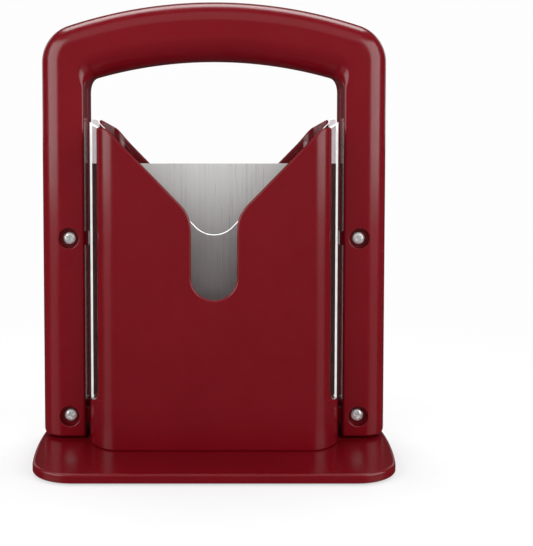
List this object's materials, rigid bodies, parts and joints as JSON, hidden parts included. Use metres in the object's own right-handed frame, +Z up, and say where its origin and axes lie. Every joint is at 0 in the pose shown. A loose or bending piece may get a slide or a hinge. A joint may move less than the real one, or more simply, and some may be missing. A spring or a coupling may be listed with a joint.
{
  "type": "bagel guillotine slicer",
  "caption": "Bagel slicer: a steel blade in an arched handle frame slides straight down between two V notched shells with clear guards, on a flat base with rubber feet.",
  "frame": {"origin": "on the table, under the middle of the base plate", "axes": "+X to the right seen from the front, -Y towards the front, +Z up"},
  "size_m": [0.1964, 0.1382, 0.2519],
  "materials": {
    "body_plastic": "satin moulded dark red plastic",
    "frame_plastic": "satin moulded dark red plastic",
    "clear_plastic": "clear, with bright edges",
    "blade_steel": "vertical brushed grain",
    "screw_steel": "bright plated",
    "foot_rubber": "matt"
  },
  "bodies": {
    "base": {"base_plate": "body_plastic", "foot_front_left": "foot_rubber", "foot_front_right": "foot_rubber", "foot_rear_left": "foot_rubber", "foot_rear_right": "foot_rubber", "front_shell": "body_plastic", "rear_shell": "body_plastic", "front_guard": "clear_plastic", "rear_guard": "clear_plastic", "crumb_tray": "body_plastic", "base_screws": "screw_steel", "tray_screws": "screw_steel"},
    "carriage": {"handle_front": "frame_plastic", "handle_rear": "frame_plastic", "blade": "blade_steel", "handle_screw_upper_left": "screw_steel", "handle_screw_upper_right": "screw_steel", "handle_screw_lower_left": "screw_steel", "handle_screw_lower_right": "screw_steel", "glide_upper_left": "frame_plastic", "glide_upper_right": "frame_plastic", "glide_lower_left": "frame_plastic", "glide_lower_right": "frame_plastic"}
  },
  "joints": [
    {"name": "blade_slide", "type": "slide", "parent": "base", "child": "carriage", "axis": [0, 0, 1], "range_m": [0, 0.16]}
  ]
}
